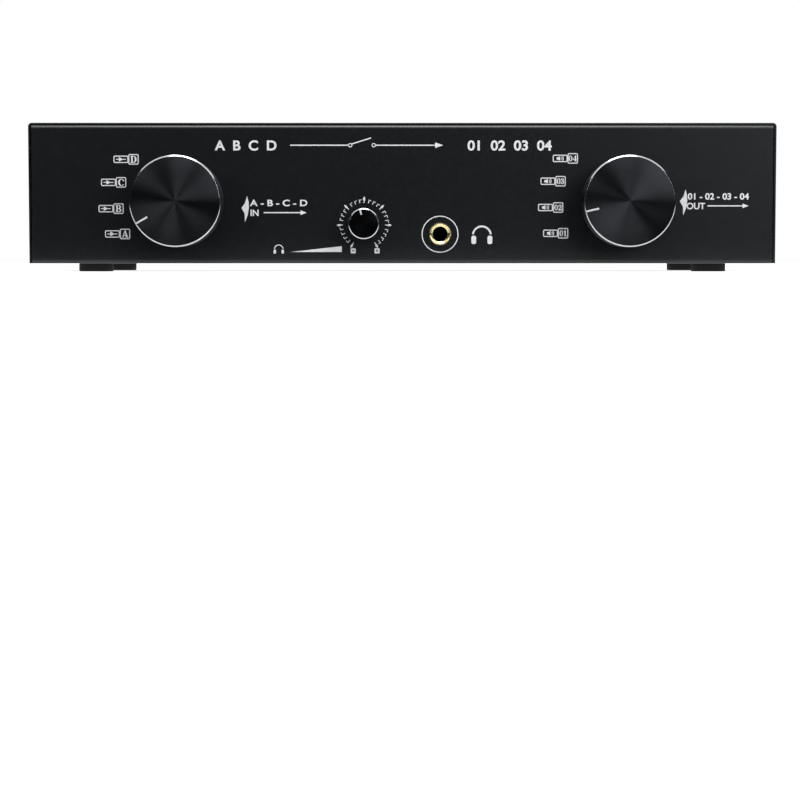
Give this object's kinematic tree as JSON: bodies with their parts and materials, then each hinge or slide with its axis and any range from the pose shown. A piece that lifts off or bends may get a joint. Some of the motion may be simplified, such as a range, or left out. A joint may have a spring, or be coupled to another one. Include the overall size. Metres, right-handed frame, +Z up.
{
  "type": "speaker selector switch",
  "caption": "Low black steel case with two rotary selector knobs, a small volume knob and a headphone jack in front, and rows of red and black binding posts behind.",
  "frame": {"origin": "on the table, under the middle of the object's bounding box", "axes": "+X to the right of someone facing the front panel, +Y towards the rear panel, +Z up"},
  "size_m": [0.32, 0.172, 0.0653],
  "materials": {
    "black_paint": "satin",
    "black_screw": "satin",
    "foot_rubber": "matte",
    "zinc_plate": "satin",
    "phenolic": "matte",
    "contact_brass": "satin",
    "steel": "satin",
    "pot_can": "satin",
    "jack_plastic": "matte",
    "gold_plate": "polished",
    "board": "satin",
    "block_plastic": "satin",
    "nickel": "polished",
    "wire_jacket": "matte",
    "black_anodised": "satin",
    "rotor_plastic": "matte",
    "red_plastic": "gloss",
    "black_plastic": "gloss",
    "white_ink": "matte"
  },
  "bodies": {
    "case": {"base_tray": "black_paint", "top_cover": "black_paint", "case_screws": "black_screw", "feet": "foot_rubber", "switch_frames": "zinc_plate", "switch_wafers": "phenolic", "switch_contacts": "contact_brass", "switch_detents": "steel", "switch_tie_bolts": "steel", "bushing_nuts": "zinc_plate", "volume_pot_body": "pot_can", "jack_body": "jack_plastic", "jack_bushing": "gold_plate", "headphone_board": "board", "terminal_blocks": "block_plastic", "post_studs": "nickel", "post_nuts": "steel", "post_screws": "black_screw", "terminal_board": "board", "wiring": "wire_jacket"},
    "amp_selector": {"amp_knob": "black_anodised", "amp_switch_shaft": "steel", "amp_switch_rotor": "rotor_plastic"},
    "speaker_selector": {"speaker_knob": "black_anodised", "speaker_switch_shaft": "steel", "speaker_switch_rotor": "rotor_plastic"},
    "volume_control": {"volume_knob": "black_anodised", "volume_shaft": "steel"},
    "red_cap_01": {"red_cap_01": "red_plastic"},
    "red_cap_02": {"red_cap_02": "red_plastic"},
    "red_cap_03": {"red_cap_03": "red_plastic"},
    "red_cap_04": {"red_cap_04": "red_plastic"},
    "red_cap_05": {"red_cap_05": "red_plastic"},
    "red_cap_06": {"red_cap_06": "red_plastic"},
    "red_cap_07": {"red_cap_07": "red_plastic"},
    "red_cap_08": {"red_cap_08": "red_plastic"},
    "red_cap_09": {"red_cap_09": "red_plastic"},
    "red_cap_10": {"red_cap_10": "red_plastic"},
    "red_cap_11": {"red_cap_11": "red_plastic"},
    "red_cap_12": {"red_cap_12": "red_plastic"},
    "red_cap_13": {"red_cap_13": "red_plastic"},
    "red_cap_14": {"red_cap_14": "red_plastic"},
    "red_cap_15": {"red_cap_15": "red_plastic"},
    "red_cap_16": {"red_cap_16": "red_plastic"},
    "black_cap_01": {"black_cap_01": "black_plastic"},
    "black_cap_02": {"black_cap_02": "black_plastic"},
    "black_cap_03": {"black_cap_03": "black_plastic"},
    "black_cap_04": {"black_cap_04": "black_plastic"},
    "black_cap_05": {"black_cap_05": "black_plastic"},
    "black_cap_06": {"black_cap_06": "black_plastic"},
    "black_cap_07": {"black_cap_07": "black_plastic"},
    "black_cap_08": {"black_cap_08": "black_plastic"},
    "black_cap_09": {"black_cap_09": "black_plastic"},
    "black_cap_10": {"black_cap_10": "black_plastic"},
    "black_cap_11": {"black_cap_11": "black_plastic"},
    "black_cap_12": {"black_cap_12": "black_plastic"},
    "black_cap_13": {"black_cap_13": "black_plastic"},
    "black_cap_14": {"black_cap_14": "black_plastic"},
    "black_cap_15": {"black_cap_15": "black_plastic"},
    "black_cap_16": {"black_cap_16": "black_plastic"}
  },
  "joints": [
    {"name": "amp_select", "type": "hinge", "parent": "case", "child": "amp_selector", "pos_m": [-0.0955, -0.07, 0.0297], "axis": [0, 1, 0], "range_deg": [0, 90]},
    {"name": "speaker_select", "type": "hinge", "parent": "case", "child": "speaker_selector", "pos_m": [0.0955, -0.07, 0.0297], "axis": [0, 1, 0], "range_deg": [-30, 60]},
    {"name": "volume_turn", "type": "hinge", "parent": "case", "child": "volume_control", "pos_m": [-0.0164, -0.07, 0.0203], "axis": [0, 1, 0], "range_deg": [-135, 165]},
    {"name": "red_cap_01_unscrew", "type": "slide", "parent": "case", "child": "red_cap_01", "axis": [0, 1, 0], "range_m": [0, 0.006]},
    {"name": "red_cap_02_unscrew", "type": "slide", "parent": "case", "child": "red_cap_02", "axis": [0, 1, 0], "range_m": [0, 0.006]},
    {"name": "red_cap_03_unscrew", "type": "slide", "parent": "case", "child": "red_cap_03", "axis": [0, 1, 0], "range_m": [0, 0.006]},
    {"name": "red_cap_04_unscrew", "type": "slide", "parent": "case", "child": "red_cap_04", "axis": [0, 1, 0], "range_m": [0, 0.006]},
    {"name": "red_cap_05_unscrew", "type": "slide", "parent": "case", "child": "red_cap_05", "axis": [0, 1, 0], "range_m": [0, 0.006]},
    {"name": "red_cap_06_unscrew", "type": "slide", "parent": "case", "child": "red_cap_06", "axis": [0, 1, 0], "range_m": [0, 0.006]},
    {"name": "red_cap_07_unscrew", "type": "slide", "parent": "case", "child": "red_cap_07", "axis": [0, 1, 0], "range_m": [0, 0.006]},
    {"name": "red_cap_08_unscrew", "type": "slide", "parent": "case", "child": "red_cap_08", "axis": [0, 1, 0], "range_m": [0, 0.006]},
    {"name": "red_cap_09_unscrew", "type": "slide", "parent": "case", "child": "red_cap_09", "axis": [0, 1, 0], "range_m": [0, 0.006]},
    {"name": "red_cap_10_unscrew", "type": "slide", "parent": "case", "child": "red_cap_10", "axis": [0, 1, 0], "range_m": [0, 0.006]},
    {"name": "red_cap_11_unscrew", "type": "slide", "parent": "case", "child": "red_cap_11", "axis": [0, 1, 0], "range_m": [0, 0.006]},
    {"name": "red_cap_12_unscrew", "type": "slide", "parent": "case", "child": "red_cap_12", "axis": [0, 1, 0], "range_m": [0, 0.006]},
    {"name": "red_cap_13_unscrew", "type": "slide", "parent": "case", "child": "red_cap_13", "axis": [0, 1, 0], "range_m": [0, 0.006]},
    {"name": "red_cap_14_unscrew", "type": "slide", "parent": "case", "child": "red_cap_14", "axis": [0, 1, 0], "range_m": [0, 0.006]},
    {"name": "red_cap_15_unscrew", "type": "slide", "parent": "case", "child": "red_cap_15", "axis": [0, 1, 0], "range_m": [0, 0.006]},
    {"name": "red_cap_16_unscrew", "type": "slide", "parent": "case", "child": "red_cap_16", "axis": [0, 1, 0], "range_m": [0, 0.006]},
    {"name": "black_cap_01_unscrew", "type": "slide", "parent": "case", "child": "black_cap_01", "axis": [0, 1, 0], "range_m": [0, 0.006]},
    {"name": "black_cap_02_unscrew", "type": "slide", "parent": "case", "child": "black_cap_02", "axis": [0, 1, 0], "range_m": [0, 0.006]},
    {"name": "black_cap_03_unscrew", "type": "slide", "parent": "case", "child": "black_cap_03", "axis": [0, 1, 0], "range_m": [0, 0.006]},
    {"name": "black_cap_04_unscrew", "type": "slide", "parent": "case", "child": "black_cap_04", "axis": [0, 1, 0], "range_m": [0, 0.006]},
    {"name": "black_cap_05_unscrew", "type": "slide", "parent": "case", "child": "black_cap_05", "axis": [0, 1, 0], "range_m": [0, 0.006]},
    {"name": "black_cap_06_unscrew", "type": "slide", "parent": "case", "child": "black_cap_06", "axis": [0, 1, 0], "range_m": [0, 0.006]},
    {"name": "black_cap_07_unscrew", "type": "slide", "parent": "case", "child": "black_cap_07", "axis": [0, 1, 0], "range_m": [0, 0.006]},
    {"name": "black_cap_08_unscrew", "type": "slide", "parent": "case", "child": "black_cap_08", "axis": [0, 1, 0], "range_m": [0, 0.006]},
    {"name": "black_cap_09_unscrew", "type": "slide", "parent": "case", "child": "black_cap_09", "axis": [0, 1, 0], "range_m": [0, 0.006]},
    {"name": "black_cap_10_unscrew", "type": "slide", "parent": "case", "child": "black_cap_10", "axis": [0, 1, 0], "range_m": [0, 0.006]},
    {"name": "black_cap_11_unscrew", "type": "slide", "parent": "case", "child": "black_cap_11", "axis": [0, 1, 0], "range_m": [0, 0.006]},
    {"name": "black_cap_12_unscrew", "type": "slide", "parent": "case", "child": "black_cap_12", "axis": [0, 1, 0], "range_m": [0, 0.006]},
    {"name": "black_cap_13_unscrew", "type": "slide", "parent": "case", "child": "black_cap_13", "axis": [0, 1, 0], "range_m": [0, 0.006]},
    {"name": "black_cap_14_unscrew", "type": "slide", "parent": "case", "child": "black_cap_14", "axis": [0, 1, 0], "range_m": [0, 0.006]},
    {"name": "black_cap_15_unscrew", "type": "slide", "parent": "case", "child": "black_cap_15", "axis": [0, 1, 0], "range_m": [0, 0.006]},
    {"name": "black_cap_16_unscrew", "type": "slide", "parent": "case", "child": "black_cap_16", "axis": [0, 1, 0], "range_m": [0, 0.006]}
  ]
}
